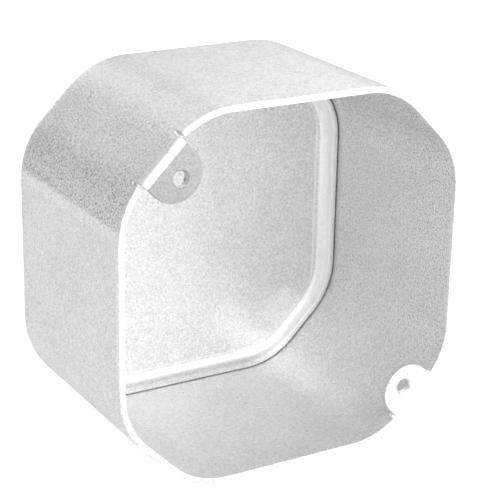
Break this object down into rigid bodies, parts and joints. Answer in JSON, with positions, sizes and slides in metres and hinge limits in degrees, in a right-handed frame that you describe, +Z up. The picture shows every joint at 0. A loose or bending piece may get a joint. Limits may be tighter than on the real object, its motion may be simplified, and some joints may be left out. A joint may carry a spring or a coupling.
{
  "type": "octagonal electrical junction box",
  "caption": "Deep octagonal steel junction box with plain walls, an open front, a pressed closed back and tapped ears for the cover screws.",
  "frame": {"origin": "centre of the outer back face, the face that goes against a joist, stud or ceiling", "axes": "+Y out of the back, so the opening faces -Y; +X to the right when looking into the opening; +Z up"},
  "size_m": [0.092, 0.0582, 0.092],
  "materials": {
    "shell_zinc": "hot-dip galvanized sheet, fine matt grain",
    "pan_zinc": "hot-dip galvanized sheet, fine matt grain",
    "weld_steel": "bare welded steel"
  },
  "bodies": {
    "root": {"wall_shell": "shell_zinc", "back_pan": "pan_zinc", "weld_nuggets": "weld_steel"}
  },
  "joints": []
}
